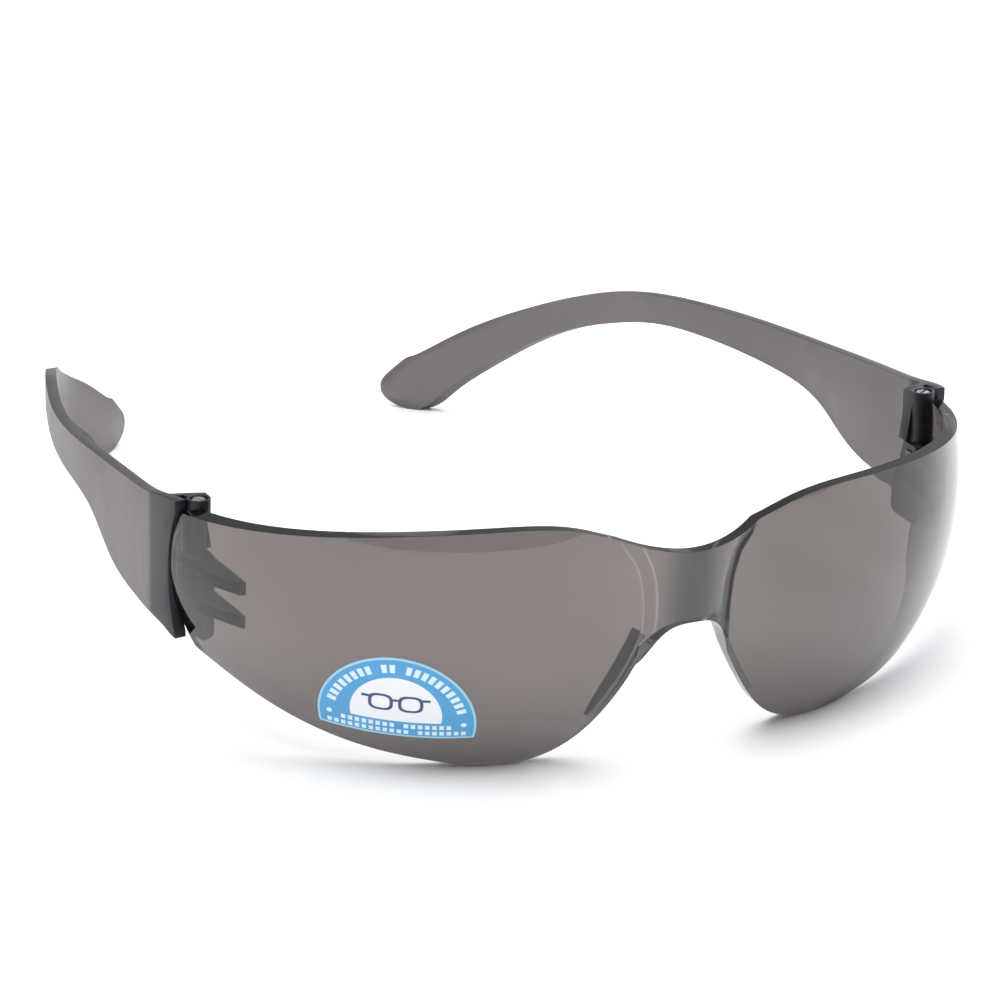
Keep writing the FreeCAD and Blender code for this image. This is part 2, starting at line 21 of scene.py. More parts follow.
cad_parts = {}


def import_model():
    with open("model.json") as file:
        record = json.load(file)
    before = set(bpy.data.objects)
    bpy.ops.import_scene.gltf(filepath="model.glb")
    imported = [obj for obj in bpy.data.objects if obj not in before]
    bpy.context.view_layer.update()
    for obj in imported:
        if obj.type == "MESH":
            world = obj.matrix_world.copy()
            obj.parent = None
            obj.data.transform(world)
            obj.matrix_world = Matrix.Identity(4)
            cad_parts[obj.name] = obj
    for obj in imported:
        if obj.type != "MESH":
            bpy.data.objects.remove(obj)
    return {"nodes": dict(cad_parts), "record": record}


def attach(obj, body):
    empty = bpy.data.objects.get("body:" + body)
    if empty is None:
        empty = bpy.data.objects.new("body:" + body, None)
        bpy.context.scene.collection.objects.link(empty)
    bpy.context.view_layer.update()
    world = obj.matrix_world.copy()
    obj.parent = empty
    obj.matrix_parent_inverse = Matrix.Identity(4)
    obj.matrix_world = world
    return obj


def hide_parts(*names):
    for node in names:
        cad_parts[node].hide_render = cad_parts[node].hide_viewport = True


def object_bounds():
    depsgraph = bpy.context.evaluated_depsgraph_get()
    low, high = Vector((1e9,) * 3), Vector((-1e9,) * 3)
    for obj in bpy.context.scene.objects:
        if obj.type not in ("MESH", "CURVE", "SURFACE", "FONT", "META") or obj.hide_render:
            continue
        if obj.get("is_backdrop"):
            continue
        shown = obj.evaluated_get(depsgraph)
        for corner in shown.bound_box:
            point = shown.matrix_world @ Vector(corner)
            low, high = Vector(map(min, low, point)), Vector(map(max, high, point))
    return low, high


LOG = logging.getLogger("safety_glasses")
MM = 0.001

Colour = tuple[float, float, float]
Feed = bpy.types.NodeSocket | float | tuple[float, ...]

# The Mix node keeps one set of sockets for each kind of value. These are the ones for colours.
MIX_UNDER, MIX_OVER, MIX_RESULT = 6, 7, 2
# The refractive index of polycarbonate.
POLYCARBONATE_INDEX = 1.58

# Points closer than this are welded, faces that turn less are joined into one, and edges that
# turn more are rounded.
WELD = 0.002 * MM
FLAT_DEGREES = 0.4
SHARP_DEGREES = 40.0


class Side(Enum):
    """The two sides of the glasses, as the wearer names them."""

    LEFT = 1.0
    RIGHT = -1.0

    @property
    def word(self) -> str:
        """The side's name in node and joint names."""
        return self.name.lower()


class NodeBench:
    """A node tree with short ways to add, set and join its nodes."""

    def __init__(self, tree: bpy.types.NodeTree) -> None:
        """Keeps the tree that the nodes go in."""
        self.tree = tree

    def add(self, kind: str, **settings: object) -> bpy.types.Node:
        """Adds a node.

        Args:
            kind: the node's type name.
            settings: properties of the node, by name.

        Returns:
            The new node.
        """
        node = self.tree.nodes.new(kind)
        for name, value in settings.items():
            setattr(node, name, value)
        return node

    def feed(self, socket: bpy.types.NodeSocket, value: Feed) -> None:
        """Joins a socket to another one, or sets it to a plain value.

        Args:
            socket: the input to fill.
            value: an output socket, a number, or a vector or colour.
        """
        if isinstance(value, bpy.types.NodeSocket):
            self.tree.links.new(value, socket)
        else:
            socket.default_value = value

    def math(self, operation: str, *values: Feed) -> bpy.types.NodeSocket:
        """Works out one number from up to three others.

        Args:
            operation: the Math node's operation.
            values: its inputs in order.

        Returns:
            The result's socket.
        """
        node = self.add("ShaderNodeMath", operation=operation)
        for socket, value in zip(node.inputs, values):
            self.feed(socket, value)
        return node.outputs[0]

    def chain(self, operation: str, *values: Feed) -> bpy.types.NodeSocket:
        """Works out one number from any number of others, two at a time.

        Args:
            operation: the Math node's operation.
            values: the numbers in order.

        Returns:
            The result's socket.
        """
        return reduce(lambda total, value: self.math(operation, total, value), values)

    def slant(self, first: Feed, second: Feed) -> bpy.types.NodeSocket:
        """Works out the length of the slant over two legs at right angles.

        Args:
            first: one leg.
            second: the other leg.

        Returns:
            The length's socket.
        """
        return self.math("SQRT", self.math("ADD", self.math("MULTIPLY", first, first),
                                           self.math("MULTIPLY", second, second)))

    def split(self, point: Feed) -> dict[str, bpy.types.NodeSocket]:
        """Splits a vector into its parts.

        Args:
            point: the vector.

        Returns:
            The socket of each part, by the name of its axis.
        """
        node = self.add("ShaderNodeSeparateXYZ")
        self.feed(node.inputs[0], point)
        return {axis: node.outputs[axis] for axis in "XYZ"}

    def dot(self, first: Feed, second: Feed) -> bpy.types.NodeSocket:
        """Works out the dot product of two vectors.

        Args:
            first: one vector.
            second: the other vector.

        Returns:
            The product's socket.
        """
        node = self.add("ShaderNodeVectorMath", operation="DOT_PRODUCT")
        self.feed(node.inputs[0], first)
        self.feed(node.inputs[1], second)
        return node.outputs["Value"]

    def offset(self, point: Feed, origin: Feed) -> bpy.types.NodeSocket:
        """Works out a point's place from another origin.

        Args:
            point: the point.
            origin: the new origin.

        Returns:
            The difference's socket.
        """
        node = self.add("ShaderNodeVectorMath", operation="SUBTRACT")
        self.feed(node.inputs[0], point)
        self.feed(node.inputs[1], origin)
        return node.outputs["Vector"]

    def ramp(self, value: Feed, start: float, end: float, low: Feed = 0.0, high: Feed = 1.0
             ) -> bpy.types.NodeSocket:
        """Maps a number smoothly from one range to another, and holds it at the ends.

        Args:
            value: the number.
            start: where the ramp starts.
            end: where it ends.
            low: the result at the start.
            high: the result at the end.

        Returns:
            The mapped number's socket.
        """
        node = self.add("ShaderNodeMapRange", interpolation_type="SMOOTHSTEP")
        for name, part in (("Value", value), ("From Min", start), ("From Max", end),
                           ("To Min", low), ("To Max", high)):
            self.feed(node.inputs[name], part)
        return node.outputs["Result"]

    def blend(self, amount: Feed, under: Feed, over: Feed) -> bpy.types.NodeSocket:
        """Lays one colour over another.

        Args:
            amount: how much of the upper colour shows, from 0 to 1.
            under: the lower colour.
            over: the upper colour.

        Returns:
            The colour's socket.
        """
        node = self.add("ShaderNodeMix", data_type="RGBA")
        self.feed(node.inputs["Factor"], amount)
        self.feed(node.inputs[MIX_UNDER], under)
        self.feed(node.inputs[MIX_OVER], over)
        return node.outputs[MIX_RESULT]

    def noise(self, point: Feed, scale: Feed, detail: float, roughness: float = 0.5
              ) -> bpy.types.NodeSocket:
        """Adds a fractal noise from 0 to 1.

        Args:
            point: where it is read.
            scale: how many grains there are in a metre.
            detail: how many octaves it has.
            roughness: how strong the finer octaves are.

        Returns:
            The noise's socket.
        """
        node = self.add("ShaderNodeTexNoise")
        self.feed(node.inputs["Vector"], point)
        self.feed(node.inputs["Scale"], scale)
        node.inputs["Detail"].default_value = detail
        node.inputs["Roughness"].default_value = roughness
        return node.outputs["Fac"]

    def facing_up(self, start: float, end: float) -> bpy.types.NodeSocket:
        """Makes a mask of the faces that look straight up or down, such as a moulding's rims.

        Args:
            start: the upright part of the normal where the mask starts.
            end: the upright part where it is full.

        Returns:
            The mask's socket.
        """
        normal = self.split(self.add("ShaderNodeTexCoord").outputs["Normal"])
        return self.ramp(self.math("ABSOLUTE", normal["Z"]), start, end)

    def place(self) -> bpy.types.NodeSocket:
        """The socket that gives a point's place in the object's own frame, in metres."""
        return self.add("ShaderNodeTexCoord").outputs["Object"]

    def band(self, value: Feed, middle: float, half: float, soft: float) -> bpy.types.NodeSocket:
        """Makes a mask that is 1 where a number is near a middle value.

        Args:
            value: the number.
            middle: the middle of the band.
            half: half of the band's width.
            soft: how wide its edge is.

        Returns:
            The mask's socket.
        """
        away = self.math("ABSOLUTE", self.math("SUBTRACT", value, middle))
        return self.ramp(away, half + soft, half - soft)


class EffectLibrary:
    """Shader node groups for the effects that more than one finish uses, each built once."""

    def __init__(self) -> None:
        """Builds every group."""
        self.grain = self._mould_grain()
        self.marks = self._handling_marks()
        self.drift = self._tint_drift()

    @staticmethod
    def _open(name: str, inputs: dict[str, tuple[str, object]], outputs: dict[str, str]
              ) -> tuple[NodeBench, bpy.types.Node, bpy.types.Node]:
        """Starts a group with its sockets.

        Args:
            name: the group's name.
            inputs: each input's kind and default value, by name.
            outputs: each output's kind, by name.

        Returns:
            A bench on the group's tree, its input node and its output node.
        """
        tree = bpy.data.node_groups.new(name, "ShaderNodeTree")
        for label, (kind, value) in inputs.items():
            socket = tree.interface.new_socket(label, in_out="INPUT", socket_type=kind)
            socket.default_value = value
        for label, kind in outputs.items():
            tree.interface.new_socket(label, in_out="OUTPUT", socket_type=kind)
        bench = NodeBench(tree)
        return bench, bench.add("NodeGroupInput"), bench.add("NodeGroupOutput")

    def _mould_grain(self) -> bpy.types.NodeTree:
        """Builds the fine even texture that an etched mould leaves.

        Returns:
            A group that gives the texture's height and the roughness over it.
        """
        bench, given, out = self._open(
            "mould_grain",
            {"Grains": ("NodeSocketFloat", 2400.0), "Roughness": ("NodeSocketFloat", 0.4),
             "Spread": ("NodeSocketFloat", 0.1)},
            {"Height": "NodeSocketFloat", "Roughness": "NodeSocketFloat"})
        place = bench.place()
        fine = bench.noise(place, given.outputs["Grains"], 3.0, 0.6)
        patch = bench.noise(place, 55.0, 3.0)
        swing = bench.math("MULTIPLY", bench.math("SUBTRACT", patch, 0.5), given.outputs["Spread"])
        grit = bench.math("MULTIPLY", bench.math("SUBTRACT", fine, 0.5), given.outputs["Spread"])
        rough = bench.math("ADD", given.outputs["Roughness"], bench.math("ADD", swing, grit))
        bench.feed(out.inputs["Height"], fine)
        bench.feed(out.inputs["Roughness"], rough)
        return bench.tree

    def _handling_marks(self) -> bpy.types.NodeTree:
        """Builds the faint smears and hairlines of a handled smooth surface.

        Returns:
            A group that gives a roughness and a mask of the marks.
        """
        bench, given, out = self._open(
            "handling_marks",
            {"Smears": ("NodeSocketFloat", 60.0), "Roughness": ("NodeSocketFloat", 0.03),
             "Amount": ("NodeSocketFloat", 0.05)},
            {"Roughness": "NodeSocketFloat", "Mask": "NodeSocketFloat"})
        place = bench.place()
        smear = bench.ramp(bench.noise(place, given.outputs["Smears"], 4.0, 0.65), 0.48, 0.72)
        stretched = bench.add("ShaderNodeMapping")
        bench.feed(stretched.inputs["Vector"], place)
        stretched.inputs["Rotation"].default_value = (0.3, 0.7, 0.4)
        stretched.inputs["Scale"].default_value = (1.0, 30.0, 1.0)
        lines = bench.ramp(bench.noise(stretched.outputs["Vector"], 95.0, 2.0), 0.66, 0.72)
        mask = bench.math("MAXIMUM", smear, bench.math("MULTIPLY", lines, 0.6))
        rough = bench.math("MULTIPLY_ADD", mask, given.outputs["Amount"],
                           given.outputs["Roughness"])
        bench.feed(out.inputs["Roughness"], rough)
        bench.feed(out.inputs["Mask"], mask)
        return bench.tree

    def _tint_drift(self) -> bpy.types.NodeTree:
        """Builds the slow change of shade in a dyed plastic.

        Returns:
            A group that gives the shaded colour.
        """
        bench, given, out = self._open(
            "tint_drift",
            {"Tint": ("NodeSocketColor", (0.2, 0.2, 0.2, 1.0)),
             "Deep Tint": ("NodeSocketColor", (0.1, 0.1, 0.1, 1.0)),
             "Clouds": ("NodeSocketFloat", 18.0)},
            {"Colour": "NodeSocketColor"})
        cloud = bench.noise(bench.place(), given.outputs["Clouds"], 3.0)
        amount = bench.ramp(cloud, 0.3, 0.7)
        bench.feed(out.inputs["Colour"],
                   bench.blend(amount, given.outputs["Tint"], given.outputs["Deep Tint"]))
        return bench.tree

    @staticmethod
    def use(bench: NodeBench, group: bpy.types.NodeTree, **values: Feed) -> bpy.types.Node:
        """Places a group in a material with its own values.

        Args:
            bench: the material's bench.
            group: the group.
            values: its inputs by name, with _ for a space.

        Returns:
            The group's node.
        """
        node = bench.add("ShaderNodeGroup", node_tree=group)
        for name, value in values.items():
            bench.feed(node.inputs[name.replace("_", " ")], value)
        return node


def rgba(colour: Colour) -> tuple[float, float, float, float]:
    """The colour as an opaque one."""
    return (*colour, 1.0)


def start_material(name: str) -> tuple[bpy.types.Material, NodeBench, bpy.types.Node]:
    """Makes a material with one Principled shader.

    Args:
        name: the material's name.

    Returns:
        The material, a bench on its tree, and the shader.
    """
    material = bpy.data.materials.new(name)
    material.use_nodes = True
    bench = NodeBench(material.node_tree)
    material.node_tree.nodes.clear()
    shader = bench.add("ShaderNodeBsdfPrincipled")
    output = bench.add("ShaderNodeOutputMaterial")
    bench.feed(output.inputs["Surface"], shader.outputs["BSDF"])
    return material, bench, shader


def add_bump(bench: NodeBench, shader: bpy.types.Node, height: Feed, depth: float,
             strength: float) -> None:
    """Gives a shader a bump.

    Args:
        bench: the material's bench.
        shader: the Principled shader.
        height: the bump's height, from 0 to 1.
        depth: how deep it is, in metres.
        strength: how much of it shows, from 0 to 1.
    """
    bump = bench.add("ShaderNodeBump")
    bump.inputs["Strength"].default_value = strength
    bump.inputs["Distance"].default_value = depth
    bench.feed(bump.inputs["Height"], height)
    bench.feed(shader.inputs["Normal"], bump.outputs["Normal"])


def mesh_of(shape: bmesh.types.BMesh, name: str) -> bpy.types.Mesh:
    """Turns a finished shape into a mesh, and frees the shape.

    Args:
        shape: the shape.
        name: the mesh's name.

    Returns:
        The mesh.
    """
    mesh = bpy.data.meshes.new(name)
    shape.to_mesh(mesh)
    shape.free()
    return mesh


def link_object(name: str, data: bpy.types.ID) -> bpy.types.Object:
    """Adds an object to the scene.

    Args:
        name: its name.
        data: its mesh, light or camera.

    Returns:
        The object.
    """
    made = bpy.data.objects.new(name, data)
    bpy.context.scene.collection.objects.link(made)
    return made


@dataclass(frozen=True)
class EyeZone:
    """The part of a ball in front of each eye, placed from the hinge axes."""

    axis_y: float
    behind_axis: float = 8.4 * MM
    aside: float = 17.95 * MM
    height: float = 29.9 * MM
    outer_radius: float = 50.9 * MM
    wall: float = 2.1 * MM

    def centre(self, side: Side) -> tuple[float, float, float]:
        """The centre of one side's ball."""
        return side.value * self.aside, self.axis_y + self.behind_axis, self.height


@dataclass(frozen=True)
class LensFinish:
    """Clear polished polycarbonate with a neutral brown-grey tint and a hard coat.

    Painted shade darkens the bridge, most in its middle, the nose fins, and the rims that face up
    or down; a painted highlight lines the seams where the bridge meets the eye zones. The lens is
    also darker towards its bottom.
    """

    zone: EyeZone
    tint: Colour = (0.158, 0.134, 0.126)
    deep_tint: Colour = (0.134, 0.115, 0.110)
    # Darker towards the bottom of the lens, from low_top down.
    low_darkening: Colour = (0.085, 0.076, 0.078)
    low_top: float = 24.0 * MM
    low_amount: float = 0.6
    # Painted shade of the bridge.
    bridge_shade: Colour = (0.048, 0.046, 0.050)
    bridge_half: float = 6.5 * MM
    bridge_rise: tuple[float, float] = (0.02 * MM, 0.12 * MM)
    # Painted highlight: a pale line along the seams where the bridge meets the eye zones.
    seam_highlight: Colour = (0.400, 0.375, 0.370)
    seam_rise: float = 0.16 * MM
    seam_half: float = 0.12 * MM
    seam_soft: float = 0.08 * MM
    seam_reach: tuple[float, float] = (14.0 * MM, 10.0 * MM)
    seam_highlight_amount: float = 0.7
    # Painted shade of the nose fins.
    fin_shade: Colour = (0.030, 0.031, 0.036)
    fin_depth: tuple[float, float] = (0.05 * MM, 0.25 * MM)
    fin_reach: tuple[float, float] = (18.0 * MM, 16.0 * MM)
    # Painted shade of the rims that face up or down.
    rim_shade: Colour = (0.060, 0.056, 0.058)
    rim_slope: tuple[float, float] = (0.62, 0.72)
    rim_shade_amount: float = 0.8
    specular: float = 0.3
    roughness: float = 0.012
    smear: float = 0.03

    def _from_zone(self, bench: NodeBench, side: Side) -> bpy.types.NodeSocket:
        """Works out how far a point is from the centre of an eye zone.

        Args:
            bench: the material's bench.
            side: the zone's side.

        Returns:
            The distance's socket.
        """
        node = bench.add("ShaderNodeVectorMath", operation="DISTANCE")
        bench.feed(node.inputs[0], bench.place())
        bench.feed(node.inputs[1], self.zone.centre(side))
        return node.outputs["Value"]

    def _colour(self, bench: NodeBench, effects: EffectLibrary) -> bpy.types.NodeSocket:
        """Lays the painted shade of the bridge, the fins and the rims, the painted highlight of
        the bridge's seams, and a darkening towards the bottom over the tint of the eye zones.

        Args:
            bench: the material's bench.
            effects: the shared node groups.

        Returns:
            The colour's socket.
        """
        place = bench.split(bench.place())
        across = bench.math("ABSOLUTE", place["X"])
        nearest = bench.chain("MINIMUM", *(self._from_zone(bench, side) for side in Side))
        rise = bench.math("SUBTRACT", nearest, self.zone.outer_radius)
        tint = effects.use(bench, effects.drift, Tint=rgba(self.tint),
                           Deep_Tint=rgba(self.deep_tint), Clouds=16.0)
        # Darker towards the bottom of the lens.
        low = bench.ramp(place["Z"], self.low_top, 0.0)
        # Painted shade over the bridge, deepest in its middle.
        bridge_shade_mask = bench.ramp(rise, *self.bridge_rise)
        middle = bench.ramp(across, self.bridge_half, 0.15 * self.bridge_half)
        # Painted highlight along the bridge's seams.
        seam_highlight_mask = bench.math("MULTIPLY",
                          bench.band(rise, self.seam_rise, self.seam_half, self.seam_soft),
                          bench.ramp(across, *self.seam_reach))
        # Painted shade over the nose fins, behind the lens's inner face.
        fin_shade_mask = bench.math("MULTIPLY",
                         bench.ramp(rise, *(-self.zone.wall - depth for depth in self.fin_depth)),
                         bench.ramp(across, *self.fin_reach))
        # Painted shade on the rims that face up or down.
        rim_shade_mask = bench.facing_up(*self.rim_slope)
        colour = tint.outputs["Colour"]
        for mask, amount, over in ((low, self.low_amount, self.low_darkening),
                                   (bridge_shade_mask, middle, self.bridge_shade),
                                   (seam_highlight_mask, self.seam_highlight_amount, self.seam_highlight),
                                   (fin_shade_mask, 1.0, self.fin_shade),
                                   (rim_shade_mask, self.rim_shade_amount, self.rim_shade)):
            colour = bench.blend(bench.math("MULTIPLY", mask, amount), colour, rgba(over))
        return colour

    def material(self, effects: EffectLibrary) -> bpy.types.Material:
        """Builds the material.

        Args:
            effects: the shared node groups.

        Returns:
            The material.
        """
        material, bench, shader = start_material("tinted_polycarbonate")
        marks = effects.use(bench, effects.marks, Roughness=self.roughness, Amount=self.smear,
                            Smears=45.0)
        bench.feed(shader.inputs["Base Color"], self._colour(bench, effects))
        bench.feed(shader.inputs["Roughness"], marks.outputs["Roughness"])
        shader.inputs["IOR"].default_value = POLYCARBONATE_INDEX
        shader.inputs["Specular IOR Level"].default_value = self.specular
        shader.inputs["Transmission Weight"].default_value = 1.0
        add_bump(bench, shader, bench.noise(bench.place(), 120.0, 2.0), depth=0.02 * MM,
                 strength=0.15)
        return material


@dataclass(frozen=True)
class ArmFinish:
    """Smoke-tinted polycarbonate with a fine matt texture, dyed darker at its hinge end; painted
    shade on its rims.
    """

    tint: Colour = (0.222, 0.195, 0.208)
    deep_tint: Colour = (0.192, 0.168, 0.180)
    hinge_tint: Colour = (0.012, 0.014, 0.019)
    # Painted shade of the faces that look up or down.
    rim_shade: Colour = (0.060, 0.055, 0.060)
    dark_length: float = 9.0 * MM
    dark_fade: float = 1.2 * MM
    rim_slope: tuple[float, float] = (0.35, 0.8)
    rim_shade_amount: float = 0.8
    clear: float = 0.45
    specular: float = 0.2
    roughness: float = 0.42

    def material(self, effects: EffectLibrary, axis_y: float) -> bpy.types.Material:
        """Builds the material.

        Args:
            effects: the shared node groups.
            axis_y: the hinge axes' y.

        Returns:
            The material.
        """
        material, bench, shader = start_material("frosted_polycarbonate")
        tint = effects.use(bench, effects.drift, Tint=rgba(self.tint),
                           Deep_Tint=rgba(self.deep_tint), Clouds=28.0)
        grain = effects.use(bench, effects.grain, Grains=2600.0, Roughness=self.roughness,
                            Spread=0.12)
        marks = effects.use(bench, effects.marks, Roughness=0.0, Amount=0.06, Smears=70.0)
        place = bench.split(bench.place())
        end = axis_y + self.dark_length
        dark = bench.ramp(place["Y"], end + self.dark_fade, end - self.dark_fade)
        # Painted shade on the faces that look up or down.
        rim_shade_mask = bench.math("MULTIPLY", bench.facing_up(*self.rim_slope), self.rim_shade_amount)
        colour = bench.blend(rim_shade_mask, tint.outputs["Colour"], rgba(self.rim_shade))
        colour = bench.blend(dark, colour, rgba(self.hinge_tint))
        bench.feed(shader.inputs["Base Color"], colour)
        bench.feed(shader.inputs["Roughness"],
                   bench.math("ADD", grain.outputs["Roughness"], marks.outputs["Roughness"]))
        shader.inputs["IOR"].default_value = POLYCARBONATE_INDEX
        shader.inputs["Specular IOR Level"].default_value = self.specular
        shader.inputs["Transmission Weight"].default_value = self.clear
        add_bump(bench, shader, grain.outputs["Height"], depth=0.04 * MM, strength=0.5)
        return material


@dataclass(frozen=True)
class HingeFinish:
    """Dark blue-grey moulding with a satin surface."""

    tint: Colour = (0.022, 0.026, 0.034)
    deep_tint: Colour = (0.012, 0.014, 0.019)
    roughness: float = 0.34

    def material(self, effects: EffectLibrary) -> bpy.types.Material:
        """Builds the material.

        Args:
            effects: the shared node groups.

        Returns:
            The material.
        """
        material, bench, shader = start_material("satin_hinge_plastic")
        tint = effects.use(bench, effects.drift, Tint=rgba(self.tint),
                           Deep_Tint=rgba(self.deep_tint), Clouds=180.0)
        grain = effects.use(bench, effects.grain, Grains=3200.0, Roughness=self.roughness,
                            Spread=0.12)
        bench.feed(shader.inputs["Base Color"], tint.outputs["Colour"])
        bench.feed(shader.inputs["Roughness"], grain.outputs["Roughness"])
        shader.inputs["IOR"].default_value = 1.5
        add_bump(bench, shader, grain.outputs["Height"], depth=0.03 * MM, strength=0.4)
        return material


class Metal(Enum):
    """The metals of the hinge hardware: name, colour and roughness."""

    STEEL = ("bright_steel", (0.70, 0.70, 0.71), 0.22)
    BRASS = ("turned_brass", (0.74, 0.53, 0.24), 0.28)


@dataclass(frozen=True)
class MetalFinish:
    """Turned metal with fine rings around its axis."""

    metal: Metal
    dulling: float = 0.72
    rings: float = 30000.0

    def material(self, effects: EffectLibrary) -> bpy.types.Material:
        """Builds the material.

        Args:
            effects: the shared node groups.

        Returns:
            The material.
        """
        name, colour, roughness = self.metal.value
        material, bench, shader = start_material(name)
        dull = tuple(self.dulling * part for part in colour)
        marks = effects.use(bench, effects.marks, Roughness=roughness, Amount=0.2, Smears=900.0)
        bench.feed(shader.inputs["Base Color"],
                   bench.blend(marks.outputs["Mask"], rgba(colour), rgba(dull)))
        bench.feed(shader.inputs["Roughness"], marks.outputs["Roughness"])
        shader.inputs["Metallic"].default_value = 1.0
        height = bench.split(bench.place())["Z"]
        rings = bench.math("SINE", bench.math("MULTIPLY", height, self.rings))
        add_bump(bench, shader, rings, depth=0.02 * MM, strength=0.3)
        return material


@dataclass(frozen=True)
class StrokeRow:
    """A row of short strokes that stands in for words. Its sizes are in millimetres."""

    level: float
    half_height: float
    pitch: float
    half_length: float
    gaps: tuple[float, ...]
    soft: float = 0.06
    end_soft: float = 0.04
    half_stroke: float = 0.32

    def mask(self, bench: NodeBench, along: Feed, level: Feed) -> bpy.types.NodeSocket:
        """Makes the row's mask.

        Args:
            bench: the material's bench.
            along: the place along the row, from its middle.
            level: the place across the row.

        Returns:
            The mask's socket.
        """
        # The whole number added keeps the place positive, so that the strokes stay in step.
        cell = bench.math("FRACT", bench.math("MULTIPLY_ADD", along, 1.0 / self.pitch, 100.0))
        gaps = (bench.band(along, gap, 0.5 * self.pitch, self.end_soft) for gap in self.gaps)
        return bench.chain("MULTIPLY", bench.band(cell, 0.5, self.half_stroke, self.soft),
                           bench.band(along, 0.0, self.half_length, self.end_soft),
                           *(bench.math("SUBTRACT", 1.0, gap) for gap in gaps),
                           bench.band(level, self.level, self.half_height, self.soft))


@dataclass(frozen=True)
class Pictogram:
    """A plain sign of a pair of glasses. Its sizes are in millimetres."""

    rim_aside: float = 2.35
    rim_level: float = 7.0
    rim_radius: float = 1.7
    rim_half: float = 0.26
    flatness: float = 1.2
    squareness: float = 3.0
    bar_level: float = 7.6
    bar_half: float = 0.22
    arm_level: float = 7.9
    arm_half: float = 0.24
    arm_aside: float = 4.7
    stub: float = 0.7
    soft: float = 0.06

    def mask(self, bench: NodeBench, across: Feed, up: Feed) -> bpy.types.NodeSocket:
        """Makes the sign's mask: two rims, a bridge and two arms.

        Args:
            bench: the material's bench.
            across: the place across the label.
            up: the place up the label.

        Returns:
            The mask's socket.
        """
        out = bench.math("ABSOLUTE", across)
        aside = bench.math("SUBTRACT", out, self.rim_aside)
        height = bench.math("MULTIPLY", bench.math("SUBTRACT", up, self.rim_level), self.flatness)
        powers = (bench.math("POWER", bench.math("ABSOLUTE", leg), self.squareness)
                  for leg in (aside, height))
        reach = bench.math("POWER", bench.chain("ADD", *powers), 1.0 / self.squareness)
        rims = bench.band(reach, self.rim_radius, self.rim_half, self.soft)
        bar = bench.math("MULTIPLY", bench.band(up, self.bar_level, self.bar_half, self.soft),
                         bench.band(across, 0.0, self.stub, self.soft))
        arms = bench.math("MULTIPLY", bench.band(up, self.arm_level, self.arm_half, self.soft),
                          bench.band(out, self.arm_aside, self.stub, self.soft))
        return bench.chain("MAXIMUM", rims, bar, arms)


